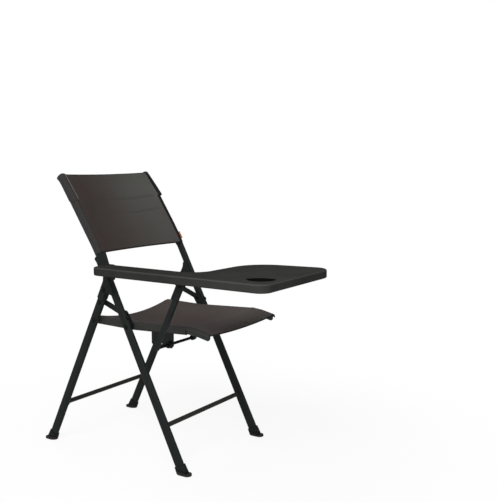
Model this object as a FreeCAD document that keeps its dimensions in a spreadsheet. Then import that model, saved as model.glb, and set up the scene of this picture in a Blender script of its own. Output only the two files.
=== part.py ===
import FreeCAD, Part
import math
import os
import Sketcher
from FreeCAD import Placement, Rotation, Vector

# Folding tablet chair. Millimetres, +Z up, the sitter faces -Y and the tablet is on their right, at -X.
# While it is drawn, X = 0 is the chair's middle plane and Y = 0 is the front feet's line.
# The finished pieces are then moved together so that the origin is under the middle of their box.

SIZES = {
    "frame_width": 410,
    "stance": 570,
    "apex_back": 290,
    "apex_height": 579,
    "top_back": 491,
    "top_height": 902,
    "bend_rise": 95,
    "bend_length": 90,
    "tube_thick": 16,
    "tube_foot_width": 33,
    "tube_top_width": 22,
    "rear_leg_width": 30,
    "foot_height": 26,
    "foot_wall": 3,
    "foot_flange": 6,
    "stretcher_share": 0.24,
    "stretcher_radius": 7.5,
    "flange_radius": 12,
    "flange_thick": 2,
    "leg_pivot_drop": 34,
    "plate_thick": 3,
    "plate_gap": 0.5,
    "plate_leg_reach": 34,
    "plate_tube_reach": 52,
    "plate_up_reach": 14,
    "plate_half_width": 12,
    "pin_radius": 5,
    "running_gap": 0.05,
    "link_pin_reach": 48.5,
    "link_width": 18,
    "seat_height": 434,
    "seat_front": -75,
    "seat_rear": 357,
    "seat_pivot_back": 217,
    "rail_rear_rise": 3,
    "rail_middle_back": 110,
    "rail_middle_rise": 5,
    "rail_crest_rise": 10,
    "rail_nose_back": -40,
    "rail_nose_rise": 6,
    "rail_tip_rise": -2,
    "rail_height": 21,
    "rail_thick": 12,
    "rail_middle": 178.5,
    "corner_length": 72,
    "corner_wall": 1.4,
    "crank_back": 22,
    "crank_rise": 34,
    "crank_radius": 13,
    "boss_radius": 9.5,
    "sling_thick": 3,
    "sling_sag_rear": 34,
    "sling_sag_middle": 28,
    "sling_sag_front": 8,
    "bow_radius": 5,
    "bow_dip": 44,
    "rod_back": 61,
    "rod_height": 394,
    "rod_radius": 4.5,
    "collar_radius": 10.5,
    "collar_length": 12.6,
    "hanger_front": 50,
    "hanger_rear": 136,
    "hanger_low": 381,
    "arm_top": 629,
    "arm_thick": 26,
    "arm_outer": 297,
    "arm_inner": 219,
    "arm_rear": 281,
    "arm_pivot_back": 262,
    "arm_pivot_height": 616,
    "arm_pivot_depth": 44,
    "lug_radius": 13,
    "tablet_front": -350,
    "tablet_rear": -73,
    "tablet_far": 84,
    "edge_radius": 5,
    "cup_side": -213,
    "cup_back": -286,
    "cup_radius": 43,
    "cup_depth": 14,
    "strut_pivot_back": -35,
    "strut_pivot_height": 591,
    "strut_middle": 250,
    "strut_width": 16,
    "strut_thick": 10,
    "clevis_wall": 2.5,
    "clevis_gap": 0.6,
    "clevis_length": 46,
    "back_low": 656,
    "back_thick": 4,
    "back_bow": 26,
    "sleeve_wall": 2.5,
    "pocket_wall": 4.5,
    "pocket_length": 91,
}

doc = FreeCAD.newDocument("folding_tablet_chair")
sheet = doc.addObject("Spreadsheet::Sheet", "Sizes")
for row, (alias, value) in enumerate(SIZES.items(), start=1):
    sheet.set(f"A{row}", alias)
    sheet.set(f"B{row}", str(value))
    sheet.setAlias(f"B{row}", alias)
doc.recompute()

SIDES = {"right": -1, "left": 1}
X_AXIS = Vector(1, 0, 0)
Y_AXIS = Vector(0, 1, 0)
Z_AXIS = Vector(0, 0, 1)
pieces = []


def size(alias):
    return float(sheet.get(alias))


def keep(obj, label):
    obj.Label = label
    pieces.append(obj)
    return obj


def feature(label, shape):
    obj = doc.addObject("Part::Feature", label)
    obj.Shape = shape
    return keep(obj, label)


def rod(name, radius_alias, start, end):
    # A round bar from start to end whose radius follows the sheet.
    obj = doc.addObject("Part::Cylinder", name)
    obj.setExpression("Radius", f"Sizes.{radius_alias}")
    obj.Height = (end - start).Length
    obj.Placement = Placement(start, Rotation(Z_AXIS, end - start))
    return obj


def group(label, members):
    # Equal small pieces that share one node as separate solids.
    obj = doc.addObject("Part::Compound", label)
    obj.Links = members
    return keep(obj, label)


def fuse(label, members):
    obj = doc.addObject("Part::MultiFuse", label)
    obj.Shapes = members
    obj.Refine = True
    return keep(obj, label)


def stadium(middle, along, width, thick):
    # Flat-oval wire square to a direction in the side plane, its thickness along X.
    across = along.cross(X_AXIS).normalize()
    half = across * ((width - thick) / 2)
    side = X_AXIS * (thick / 2)
    tip = across * (width / 2)
    a, b = middle + half + side, middle + half - side
    c, d = middle - half - side, middle - half + side
    edges = [
        Part.Arc(a, middle + tip, b).toShape(),
        Part.LineSegment(b, c).toShape(),
        Part.Arc(c, middle - tip, d).toShape(),
        Part.LineSegment(d, a).toShape(),
    ]
    return Part.Wire(edges)


def lofted(wires):
    return Part.makeLoft(wires, True, True)


def flat(point):
    return Vector(point.y, point.z, 0)


def at(back, height, x=0):
    return Vector(x, back, height)


def side_plate(label, x, thick_alias, outline, holes=()):
    # Flat plate in the side plane: an outline of points, or (middle, end) pairs for arcs, and round holes.
    body = doc.addObject("PartDesign::Body", label)
    sketch = body.newObject("Sketcher::SketchObject", f"{label}_outline")
    plane = next(item for item in body.Origin.OriginFeatures if item.Role == "YZ_Plane")
    sketch.AttachmentSupport = (plane, "")
    sketch.MapMode = "FlatFace"
    last = outline[-1][-1] if isinstance(outline[-1], tuple) else outline[-1]
    for step in outline:
        if isinstance(step, tuple):
            curve = Part.Arc(flat(last), flat(step[0]), flat(step[1]))
            last = step[1]
        else:
            curve = Part.LineSegment(flat(last), flat(step))
            last = step
        sketch.addGeometry(curve, False)
    for middle, radius in holes:
        circle = sketch.addGeometry(Part.Circle(flat(middle), Z_AXIS, radius), False)
        sketch.addConstraint(Sketcher.Constraint("Radius", circle, radius))
    pad = body.newObject("PartDesign::Pad", f"{label}_pad")
    pad.Profile = sketch
    pad.setExpression("Length", f"Sizes.{thick_alias}")
    body.Placement = Placement(Vector(x, 0, 0), Rotation())
    return keep(body, label)


def turned(vector, degrees):
    # A side-plane vector turned about X, positive from +Y towards +Z.
    return Rotation(X_AXIS, degrees).multVec(vector)


def ring_end(middle, towards, radius):
    # Three points of a half circle round a middle, on the side that a direction points to.
    side = turned(towards, 90) * radius
    return middle - side, middle + towards * radius, middle + side


def bar_outline(start, end, radius):
    # Round-ended flat bar between two eyes.
    along = (end - start).normalize()
    first = ring_end(start, along * -1, radius)
    second = ring_end(end, along, radius)
    return [first[0], (first[1], first[2]), second[0], (second[1], second[2])]


# Key points of the side view
HALF = size("frame_width") / 2
TUBE_HALF = size("tube_thick") / 2
PLATE = size("plate_thick")
PIN = size("pin_radius")
BORE = PIN + size("running_gap")
FRONT_FOOT = at(0, 0)
REAR_FOOT = at(size("stance"), 0)
APEX = at(size("apex_back"), size("apex_height"))
TOP = at(size("top_back"), size("top_height"))
FRONT_UP = (APEX - FRONT_FOOT).normalize()
BEND = APEX + FRONT_UP * size("bend_rise")
REAR_UP = (APEX - REAR_FOOT).normalize()
BACK_UP = (TOP - BEND).normalize()
FRONT_OUT = turned(FRONT_UP, 90)
REAR_OUT = turned(REAR_UP, -90)
BACK_OUT = turned(BACK_UP, 90)
LEG_PIVOT = APEX - REAR_UP * (size("leg_pivot_drop") / REAR_UP.z)
LINK_PIN = LEG_PIVOT - REAR_UP * size("link_pin_reach")
SEAT_PIVOT = at(size("seat_pivot_back"), size("seat_height"))
CRANK_PIN = SEAT_PIVOT + at(size("crank_back"), size("crank_rise"))
ARM_PIVOT = at(size("arm_pivot_back"), size("arm_pivot_height"))
STRUT_PIVOT = at(size("strut_pivot_back"), size("strut_pivot_height"))
ROD = at(size("rod_back"), size("rod_height"))
LOW_LENGTH = (BEND - FRONT_FOOT).Length
TUBE_LENGTH = LOW_LENGTH + (TOP - BEND).Length

# Sideways layers from the tube inwards: hinge plate, brace link and crank, each with room to turn
LINK_PLAY = 0.8
CRANK_PLAY = 0.7
INNER_PLATE = HALF - TUBE_HALF - size("plate_gap")
OUTER_PLATE = HALF + TUBE_HALF + size("plate_gap")
LINK_FACE = INNER_PLATE - PLATE - LINK_PLAY
CRANK_FACE = LINK_FACE - PLATE - CRANK_PLAY


def tube_station(distance):
    # Point, direction and width of a main tube at a distance above its foot, eased round the bend.
    bend = size("bend_length")
    ease = min(max((distance - LOW_LENGTH) / bend + 0.5, 0), 1)
    direction = (FRONT_UP * (1 - ease) + BACK_UP * ease).normalize()
    if distance < LOW_LENGTH + bend / 2:
        bent = bend * ease * ease / 2
        point = FRONT_FOOT + FRONT_UP * (distance - bent) + BACK_UP * bent
    else:
        point = BEND + BACK_UP * (distance - LOW_LENGTH)
    share = distance / TUBE_LENGTH
    width = size("tube_foot_width") * (1 - share) + size("tube_top_width") * share
    return point, direction, width


def main_tube_solid(x, start, end, extra=0):
    # Tapered flat-oval tube between two distances above the foot, grown by extra all round.
    bend = [LOW_LENGTH + size("bend_length") * step for step in (-0.5, -0.17, 0.17, 0.5)]
    stations = [start] + [stop for stop in bend if start < stop < end] + [end]
    wires = []
    for stop in stations:
        point, direction, width = tube_station(stop)
        wires.append(stadium(point + X_AXIS * x, direction, width + 2 * extra, size("tube_thick") + 2 * extra))
    return lofted(wires)


def foot_cap(foot, up, width, x, toe):
    # Rubber boot: a flat flange on the floor that draws in to a sleeve round the tube's end.
    wall = size("foot_wall")
    thick = size("tube_thick")
    neck_start = 2
    base = foot + X_AXIS * x + Y_AXIS * toe
    pad_width = width / up.z + 4 * wall
    flange = lofted([
        stadium(base, Z_AXIS, pad_width, thick + 4 * wall),
        stadium(base + Z_AXIS * size("foot_flange"), Z_AXIS, pad_width, thick + 4 * wall),
    ])
    neck = foot + X_AXIS * x + up * neck_start
    top = foot + X_AXIS * x + up * (size("foot_height") / up.z)
    sleeve = lofted([
        stadium(neck, up, width + 3 * wall, thick + 3 * wall),
        stadium(top, up, width + 2 * wall, thick + 2 * wall),
    ])
    room = 4 * pad_width
    floor = Part.makeBox(room, room, room, base - Vector(room / 2, room / 2, room))
    return flange.fuse(sleeve.cut(floor)).removeSplitter()


# Front frame: main tubes that are front leg and back upright in one, with boots, stretcher and plugs
TUBE_START = 10
FRONT_TOE = -5
REAR_TOE = 4
PLUG_HEIGHT = 4
PLUG_DRAW = 5
for name, sign in SIDES.items():
    x = sign * HALF
    tube = main_tube_solid(x, TUBE_START, TUBE_LENGTH)
    feature(f"{name}_main_tube", tube)
    cap = foot_cap(FRONT_FOOT, FRONT_UP, size("tube_foot_width"), x, FRONT_TOE)
    feature(f"{name}_front_foot", cap.cut(tube))
    top, direction, width = tube_station(TUBE_LENGTH)
    top = top + X_AXIS * x
    dome = lofted([
        stadium(top, direction, width, size("tube_thick")),
        stadium(top + direction * PLUG_HEIGHT, direction, width - PLUG_DRAW, size("tube_thick") - PLUG_DRAW),
    ])
    feature(f"{name}_top_plug", dome)


def stretcher(label, foot, up):
    # Round bar between the two legs of a pair, with a pressed flange at each end.
    middle = foot + up * (size("stretcher_share") * (APEX - foot).Length)
    reach = X_AXIS * (HALF - TUBE_HALF)
    bar = rod(f"{label}_bar", "stretcher_radius", middle - reach, middle + reach)
    lip = X_AXIS * size("flange_thick")
    near = rod(f"{label}_right_flange", "flange_radius", middle - reach, middle - reach + lip)
    far = rod(f"{label}_left_flange", "flange_radius", middle + reach - lip, middle + reach)
    fuse(label, [bar, near, far])


stretcher("front_stretcher", FRONT_FOOT, FRONT_UP)

# Hinge plates welded to both faces of each main tube: they reach down the rear leg, which turns between them
plate_edge = size("plate_half_width")
plate_inset = 6
plate_crown = 10
lip_bulge = 4
shoulder = 25
leg_end = LEG_PIVOT - REAR_UP * size("plate_leg_reach")
tube_end = APEX - FRONT_UP * size("plate_tube_reach")
upper_end = APEX + FRONT_UP * size("plate_up_reach")
plate_outline = [
    leg_end + REAR_OUT * plate_edge,
    (leg_end - REAR_UP * lip_bulge, leg_end - REAR_OUT * plate_edge),
    LEG_PIVOT - REAR_UP * lip_bulge - REAR_OUT * plate_edge,
    tube_end - FRONT_OUT * plate_inset,
    tube_end + FRONT_OUT * plate_inset,
    upper_end + FRONT_OUT * plate_inset,
    upper_end - FRONT_OUT * plate_crown,
    LEG_PIVOT + REAR_UP * shoulder + REAR_OUT * plate_edge,
]
for name, sign in SIDES.items():
    for place, face in (("inner", INNER_PLATE), ("outer", OUTER_PLATE + PLATE)):
        low_x = min(sign * face, sign * (face - PLATE))
        side_plate(f"{name}_{place}_hinge_plate", low_x, "plate_thick", plate_outline, [(LEG_PIVOT, PIN)])


def side_pins(label, point, start, end):
    # One pin on each side of the chair between two distances from its middle plane.
    pins = []
    for name, sign in SIDES.items():
        near = point + X_AXIS * (sign * start)
        pins.append(rod(f"{name}_{label}_bar", "pin_radius", near, point + X_AXIS * (sign * end)))
    group(label, pins)


PIN_PROUD = 2
side_pins("leg_pivot_pins", LEG_PIVOT, INNER_PLATE - PLATE, OUTER_PLATE + PLATE + PIN_PROUD)
side_pins("seat_pivot_pins", SEAT_PIVOT, HALF - TUBE_HALF, CRANK_FACE - PLATE)

# Rear frame: straight flat-oval legs with a rounded top round the pivot, boots, stretcher and link pins
leg_width = size("rear_leg_width")
leg_edge = leg_width / 2
for name, sign in SIDES.items():
    x = sign * HALF
    foot = REAR_FOOT + X_AXIS * x
    pivot = LEG_PIVOT + X_AXIS * x
    straight = lofted([
        stadium(foot + REAR_UP * TUBE_START, REAR_UP, leg_width, size("tube_thick")),
        stadium(pivot, REAR_UP, leg_width, size("tube_thick")),
    ])
    crown = Part.makeCylinder(leg_edge, size("tube_thick"), pivot - X_AXIS * TUBE_HALF, X_AXIS)
    bore = Part.makeCylinder(BORE, size("tube_thick"), pivot - X_AXIS * TUBE_HALF, X_AXIS)
    leg = straight.fuse(crown).removeSplitter()
    feature(f"{name}_rear_leg", leg.cut(bore))
    feature(f"{name}_rear_foot", foot_cap(REAR_FOOT, REAR_UP, leg_width, x, REAR_TOE).cut(leg))
side_pins("link_pins", LINK_PIN, HALF - TUBE_HALF, LINK_FACE - PLATE)
stretcher("rear_stretcher", REAR_FOOT, REAR_UP)

# Brace links: flat bars from the rear legs to the seat's cranks
for name, sign in SIDES.items():
    low_x = min(sign * LINK_FACE, sign * (LINK_FACE - PLATE))
    outline = bar_outline(LINK_PIN, CRANK_PIN, size("link_width") / 2)
    side_plate(f"{name}_brace_link", low_x, "plate_thick", outline, [(LINK_PIN, BORE)])

# Seat: two flat-oval rails that dip at the pivot and curl down at the front, with plugs, corners and cross bars
RAIL_LINE = [
    (size("seat_front") - 2, size("rail_tip_rise")),
    (size("rail_nose_back"), size("rail_nose_rise")),
    (0, size("rail_crest_rise")),
    (size("rail_middle_back"), size("rail_middle_rise")),
    (size("seat_pivot_back"), 0),
    (size("seat_rear"), size("rail_rear_rise")),
]


def rail_level(back):
    # Height of a rail's middle at a distance behind the front feet, straight between the stations.
    rise = RAIL_LINE[0][1] if back < RAIL_LINE[0][0] else RAIL_LINE[-1][1]
    for (start, low), (end, high) in zip(RAIL_LINE, RAIL_LINE[1:]):
        if start <= back <= end:
            rise = low + (high - low) * (back - start) / (end - start)
    return size("seat_height") + rise


def rail_section(x, back, extra):
    middle = at(back, rail_level(back), x)
    return stadium(middle, Y_AXIS, size("rail_height") + 2 * extra, size("rail_thick") + 2 * extra)


def rail_solid(x, front, rear, extra=0):
    stations = [front] + [back for back, rise in RAIL_LINE if front < back < rear] + [rear]
    return lofted([rail_section(x, back, extra) for back in stations])


RAIL_SETBACK = 6
PLUG_LENGTH = 7
NOSE = [(0, 1.4), (-4.5, -0.6), (-7, -3.6)]
corner_front = size("seat_front") - 2
corner_rear = size("seat_front") + size("corner_length")
corner_wall = size("corner_wall")
rails = []
for name, sign in SIDES.items():
    x = sign * size("rail_middle")
    rail = rail_solid(x, size("seat_front") + RAIL_SETBACK, size("seat_rear"))
    rails.append(rail)
    feature(f"{name}_seat_rail", rail)
    corner = rail_solid(x, corner_front, corner_rear, corner_wall)
    nose = lofted([rail_section(x, corner_front + ahead, extra) for ahead, extra in NOSE])
    feature(f"{name}_seat_corner", corner.fuse(nose).removeSplitter().cut(rail))
    plug = rail_solid(x, size("seat_rear"), size("seat_rear") + PLUG_LENGTH, -1)
    feature(f"{name}_rail_plug", plug)
    low_x = min(sign * CRANK_FACE, sign * (CRANK_FACE - PLATE))
    crank_outline = bar_outline(SEAT_PIVOT, CRANK_PIN, size("crank_radius"))
    side_plate(f"{name}_seat_crank", low_x, "plate_thick", crank_outline, [(SEAT_PIVOT, BORE)])
    boss_start = SEAT_PIVOT + X_AXIS * (sign * (size("rail_middle") + size("rail_thick") / 2))
    boss_end = SEAT_PIVOT + X_AXIS * (sign * (CRANK_FACE - PLATE))
    keep(rod(f"{name}_crank_boss", "boss_radius", boss_start, boss_end), f"{name}_crank_boss")

BAR_SETBACK = 12
BOW_SETBACK = 18
inner_rail = size("rail_middle") - size("rail_thick") / 2
bar_back = size("seat_front") + BAR_SETBACK
FRONT_BAR = at(bar_back, rail_level(bar_back))
bar_end = X_AXIS * (inner_rail - corner_wall)
keep(rod("seat_front_bar", "stretcher_radius", FRONT_BAR - bar_end, FRONT_BAR + bar_end), "seat_front_bar")
bow_back = size("seat_rear") - BOW_SETBACK
bow_level = rail_level(bow_back)
bow_path = Part.Arc(
    at(bow_back, bow_level, -size("rail_middle")),
    at(bow_back, bow_level - size("bow_dip"), 0),
    at(bow_back, bow_level, size("rail_middle")),
).toShape()
bow_start = bow_path.valueAt(bow_path.FirstParameter)
bow_tangent = bow_path.tangentAt(bow_path.FirstParameter)
bow_circle = Part.Wire([Part.makeCircle(size("bow_radius"), bow_start, bow_tangent)])
bow = Part.Wire([bow_path]).makePipeShell([bow_circle], True, True)
bow_pieces = bow.cut(rails[0]).cut(rails[1]).Solids
feature("seat_rear_bow", max(bow_pieces, key=lambda piece: piece.Volume))

# Seat cloth: a sagging sheet between the rails, and its roll round the front bar
CLOTH_PLAY = 0.2
HEM_DROP = 3
cloth_edge = inner_rail - corner_wall - CLOTH_PLAY
sling_thick = size("sling_thick")


def sling_section(back, sag):
    # Cross section of the seat cloth: a sagging strip between the rails.
    top = rail_level(back) + size("rail_height") / 2 - HEM_DROP
    low = top - sling_thick
    right, left = -cloth_edge, cloth_edge
    upper = Part.Arc(at(back, top, right), at(back, top - sag, 0), at(back, top, left)).toShape()
    left_edge = Part.LineSegment(at(back, top, left), at(back, low, left)).toShape()
    lower = Part.Arc(at(back, low, left), at(back, low - sag, 0), at(back, low, right)).toShape()
    right_edge = Part.LineSegment(at(back, low, right), at(back, top, right)).toShape()
    return Part.Wire([upper, left_edge, lower, right_edge])


SLING_LINE = [
    (size("seat_front") + 24, size("sling_sag_front")),
    (size("seat_front") + 85, (size("sling_sag_front") + size("sling_sag_middle")) / 2),
    (size("rail_middle_back"), size("sling_sag_middle")),
    (size("seat_pivot_back"), size("sling_sag_rear")),
    (size("seat_rear") - 6, size("sling_sag_rear")),
]
sling = Part.makeLoft([sling_section(back, sag) for back, sag in SLING_LINE], True, False)
feature("seat_sling", sling)
roll_hollow = size("stretcher_radius") + CLOTH_PLAY
roll_start = FRONT_BAR - X_AXIS * cloth_edge
roll = Part.makeCylinder(roll_hollow + sling_thick, 2 * cloth_edge, roll_start, X_AXIS)
feature("seat_front_roll", roll.cut(Part.makeCylinder(roll_hollow, 2 * cloth_edge, roll_start, X_AXIS)))

# Release rod under the right rail: it slides in a collar on a hanging plate, and its tip meets the strut
HANGER_SET_IN = 1
HANGER_SEAT = 0.2
SIGHT_HOLE = at(98, 392)
SIGHT_RADIUS = 4
hanger_x = -(size("rail_middle") + size("rail_thick") / 2 - HANGER_SET_IN)
hanger_front = size("hanger_front")
hanger_rear = size("hanger_rear")
hanger_low = size("hanger_low")
hanger_chamfer = 8


def rail_underside(back):
    return rail_level(back) - size("rail_height") / 2 + HANGER_SEAT


rod_bore = size("rod_radius") + size("running_gap")
side_plate(
    "rod_hanger",
    hanger_x,
    "plate_thick",
    [
        at(hanger_front, rail_underside(hanger_front)),
        at(hanger_front, hanger_low + hanger_chamfer),
        at(hanger_front + hanger_chamfer, hanger_low),
        at(hanger_rear - hanger_chamfer, hanger_low),
        at(hanger_rear, hanger_low + hanger_chamfer),
        at(hanger_rear, rail_underside(hanger_rear)),
        at(size("rail_middle_back"), rail_underside(size("rail_middle_back"))),
    ],
    [(ROD, rod_bore), (SIGHT_HOLE, SIGHT_RADIUS)],
)
collar_start = ROD + X_AXIS * (hanger_x - size("collar_length"))
collar = Part.makeCylinder(size("collar_radius"), size("collar_length"), collar_start, X_AXIS)
feature("rod_bush", collar.cut(Part.makeCylinder(rod_bore, size("collar_length"), collar_start, X_AXIS)))
TIP_PLAY = 0.5
rod_tip = -(size("strut_middle") - size("strut_thick") / 2 - TIP_PLAY)
rod_end = -75
bar = rod("release_rod_bar", "rod_radius", ROD + X_AXIS * rod_tip, ROD + X_AXIS * rod_end)
keep(bar, "release_rod")

# Knob turned from (distance past the rod's end, radius) steps, with a socket for the rod
socket = size("rod_radius")
knob_steps = [(-4, socket), (-4, 6), (-1, 8.6), (8, 9), (15, 7.6), (17, 4.8), (17, 0), (0, 0), (0, socket)]
knob_points = [ROD + Vector(rod_end + ahead, 0, radius) for ahead, radius in knob_steps]
knob_profile = Part.Face(Part.makePolygon(knob_points + knob_points[:1]))
feature("release_knob", knob_profile.revolve(ROD, X_AXIS, 360))

# Tablet and arm: one moulded board with rounded corners, a cup recess and a bore for its pivot
OUTER = -size("arm_outer")
INNER = -size("arm_inner")
FAR = size("tablet_far")
FRONT = size("tablet_front")
REAR = size("tablet_rear")
ARM_LOW = size("arm_top") - size("arm_thick")


def round_corner(before, corner, after, radius):
    # Start, middle and end of the arc that rounds a corner between two straight edges.
    arrive = (before - corner).normalize()
    leave = (after - corner).normalize()
    half_turn = arrive.getAngle(leave) / 2
    reach = radius / math.tan(half_turn)
    inward = (arrive + leave).normalize()
    middle = corner + inward * (radius / math.sin(half_turn) - radius)
    return corner + arrive * reach, middle, corner + leave * reach


# Each corner of the board's outline with the radius that rounds it
corners = [
    (Vector(OUTER, size("arm_rear"), 0), 26),
    (Vector(OUTER, FRONT, 0), 36),
    (Vector(FAR + 8, FRONT - 2, 0), 46),
    (Vector(FAR - 34, REAR - 12, 0), 120),
    (Vector(INNER, REAR + 4, 0), 64),
    (Vector(INNER, size("arm_rear"), 0), 26),
]
tablet = doc.addObject("PartDesign::Body", "tablet_board")
outline = tablet.newObject("Sketcher::SketchObject", "tablet_outline")
level = next(item for item in tablet.Origin.OriginFeatures if item.Role == "XY_Plane")
outline.AttachmentSupport = (level, "")
outline.MapMode = "FlatFace"
arcs = []
for index, (corner, radius) in enumerate(corners):
    before = corners[index - 1][0]
    after = corners[(index + 1) % len(corners)][0]
    arcs.append(round_corner(before, corner, after, radius))
for index, (start, middle, end) in enumerate(arcs):
    outline.addGeometry(Part.Arc(start, middle, end), False)
    outline.addGeometry(Part.LineSegment(end, arcs[(index + 1) % len(arcs)][0]), False)
pad = tablet.newObject("PartDesign::Pad", "tablet_pad")
pad.Profile = outline
pad.setExpression("Length", "Sizes.arm_thick")
doc.recompute()
rims = [
    f"Edge{number}"
    for number, edge in enumerate(pad.Shape.Edges, start=1)
    if abs(edge.BoundBox.ZLength) < 0.001
]
soften = tablet.newObject("PartDesign::Fillet", "tablet_soft_edges")
soften.Base = (pad, rims)
soften.setExpression("Radius", "Sizes.edge_radius")
doc.recompute()
cup_middle = Vector(size("cup_side"), size("cup_back"), 0)
cup_sketch = tablet.newObject("Sketcher::SketchObject", "cup_outline")
cup_sketch.AttachmentSupport = (level, "")
cup_sketch.MapMode = "FlatFace"
cup_sketch.AttachmentOffset = Placement(Vector(0, 0, size("arm_thick")), Rotation())
ring = cup_sketch.addGeometry(Part.Circle(cup_middle, Z_AXIS, size("cup_radius")), False)
cup_sketch.addConstraint(Sketcher.Constraint("Radius", ring, size("cup_radius")))
cup_sketch.setExpression("Constraints[0]", "Sizes.cup_radius")
cup = tablet.newObject("PartDesign::Pocket", "cup_recess")
cup.Profile = cup_sketch
cup.setExpression("Length", "Sizes.cup_depth")
bore_overrun = 10
pivot_sketch = tablet.newObject("Sketcher::SketchObject", "pivot_outline")
side = next(item for item in tablet.Origin.OriginFeatures if item.Role == "YZ_Plane")
pivot_sketch.AttachmentSupport = (side, "")
pivot_sketch.MapMode = "FlatFace"
pivot_sketch.AttachmentOffset = Placement(Vector(0, 0, INNER - size("arm_pivot_depth")), Rotation())
pivot_sketch.addGeometry(Part.Circle(flat(ARM_PIVOT) - Vector(0, ARM_LOW, 0), Z_AXIS, BORE), False)
pivot_bore = tablet.newObject("PartDesign::Pocket", "pivot_bore")
pivot_bore.Profile = pivot_sketch
pivot_bore.Length = size("arm_pivot_depth") + bore_overrun
pivot_bore.Reversed = True
doc.recompute()
tablet.Placement = Placement(Vector(0, 0, ARM_LOW), Rotation())
keep(tablet, "tablet_board")

# Arm bracket: a plate on the right upright that carries the arm's pivot pin in front of the tube
BRACKET_PLAY = 0.2
lug = size("lug_radius")


def by_tube(rise, ahead):
    # A point of the side view at a rise above the hinge and a distance ahead of the tube's middle line.
    return APEX + FRONT_UP * rise + FRONT_OUT * ahead


bracket_x = -(HALF + TUBE_HALF + BRACKET_PLAY)
side_plate(
    "arm_bracket",
    bracket_x - PLATE,
    "plate_thick",
    [
        at(256, 582),
        ARM_PIVOT - Y_AXIS * lug,
        (ARM_PIVOT + turned(Y_AXIS, 135) * lug, ARM_PIVOT + Z_AXIS * lug),
        by_tube(40, 32),
        by_tube(83, 36),
        by_tube(83, -8),
        by_tube(79, -17),
        by_tube(72, -17),
        by_tube(66, -15),
        by_tube(36, -15),
        by_tube(22, 8),
        at(268, 576),
    ],
    [(ARM_PIVOT, PIN)],
)
pin_end = size("arm_inner") + size("arm_pivot_depth") - PIN_PROUD
arm_pin = rod("arm_pivot_bar", "pin_radius", ARM_PIVOT + X_AXIS * bracket_x, ARM_PIVOT - X_AXIS * pin_end)
keep(arm_pin, "arm_pivot_pin")

# Strut that props the arm on the release rod: a round-ended bar in a clevis under the arm
strut_x = -size("strut_middle")
half_strut = size("strut_thick") / 2
side_plate(
    "tablet_strut",
    strut_x - half_strut,
    "strut_thick",
    bar_outline(ROD, STRUT_PIVOT, size("strut_width") / 2),
    [(STRUT_PIVOT, BORE)],
)
wall = size("clevis_wall")
clevis_half = half_strut + size("clevis_gap") + wall
clevis_front = STRUT_PIVOT.y - 20
clevis_rear = clevis_front + size("clevis_length")
clevis_top = ARM_LOW - wall
cheek_radius = 9


def cheek(x):
    # Ear of the clevis at a side position: a plate that narrows to a round end about the strut's pivot.
    front = at(STRUT_PIVOT.y - cheek_radius, STRUT_PIVOT.z, x)
    bottom = at(STRUT_PIVOT.y, STRUT_PIVOT.z - cheek_radius, x)
    rear = at(STRUT_PIVOT.y + cheek_radius, STRUT_PIVOT.z, x)
    upper_front = at(clevis_front, clevis_top, x)
    upper_rear = at(clevis_rear, clevis_top, x)
    profile = Part.Wire([
        Part.LineSegment(upper_front, upper_rear).toShape(),
        Part.LineSegment(upper_rear, rear).toShape(),
        Part.Arc(rear, bottom, front).toShape(),
        Part.LineSegment(front, upper_front).toShape(),
    ])
    return Part.Face(profile).extrude(X_AXIS * wall)


clevis_start = at(clevis_front, clevis_top, strut_x - clevis_half)
base = Part.makeBox(2 * clevis_half, size("clevis_length"), wall, clevis_start)
ears = [cheek(strut_x - clevis_half), cheek(strut_x + clevis_half - wall)]
clevis_bore = Part.makeCylinder(PIN, 2 * clevis_half, STRUT_PIVOT + X_AXIS * (strut_x - clevis_half), X_AXIS)
feature("strut_clevis", base.fuse(ears).removeSplitter().cut(clevis_bore))
pin_reach = X_AXIS * (clevis_half + PIN_PROUD)
strut_middle = STRUT_PIVOT + X_AXIS * strut_x
keep(rod("strut_pin_bar", "pin_radius", strut_middle - pin_reach, strut_middle + pin_reach), "strut_pin")

# Back: a bowed cloth panel between the uprights, with a sleeve round each tube and a thicker pocket on top
PANEL_PLAY = 0.5
CAP_HEIGHT = 5
back_start = LOW_LENGTH + (size("back_low") - BEND.z) / BACK_UP.z
back_end = TUBE_LENGTH - 3
panel_edge = HALF - TUBE_HALF - size("pocket_wall") - PANEL_PLAY


def back_section(distance, bow):
    # Cross section of the back cloth: a strip bowed to the rear between the two uprights.
    point, direction, width = tube_station(distance)
    front = point + BACK_OUT * (width / 2)
    middle = front - BACK_OUT * bow
    behind = BACK_OUT * -size("back_thick")
    right, left = front - X_AXIS * panel_edge, front + X_AXIS * panel_edge
    return Part.Wire([
        Part.Arc(right, middle, left).toShape(),
        Part.LineSegment(left, left + behind).toShape(),
        Part.Arc(left + behind, middle + behind, right + behind).toShape(),
        Part.LineSegment(right + behind, right).toShape(),
    ])


LOW_BOW_SHARE = 0.7
TOP_BOW_SHARE = 0.8
panel = Part.makeLoft(
    [
        back_section(back_start, size("back_bow") * LOW_BOW_SHARE),
        back_section((back_start + back_end) / 2, size("back_bow")),
        back_section(back_end, size("back_bow") * TOP_BOW_SHARE),
    ],
    True,
    False,
)
feature("back_sling", panel)
pocket_start = TUBE_LENGTH - size("pocket_length")
cap_end = TUBE_LENGTH + CAP_HEIGHT
for name, sign in SIDES.items():
    x = sign * HALF
    sleeve = main_tube_solid(x, back_start, pocket_start, size("sleeve_wall"))
    pocket = main_tube_solid(x, pocket_start, cap_end, size("pocket_wall"))
    tube, dome = [doc.getObject(f"{name}_{word}").Shape for word in ("main_tube", "top_plug")]
    feature(f"{name}_back_sleeve", sleeve.fuse(pocket).cut(tube).cut(dome))

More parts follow.
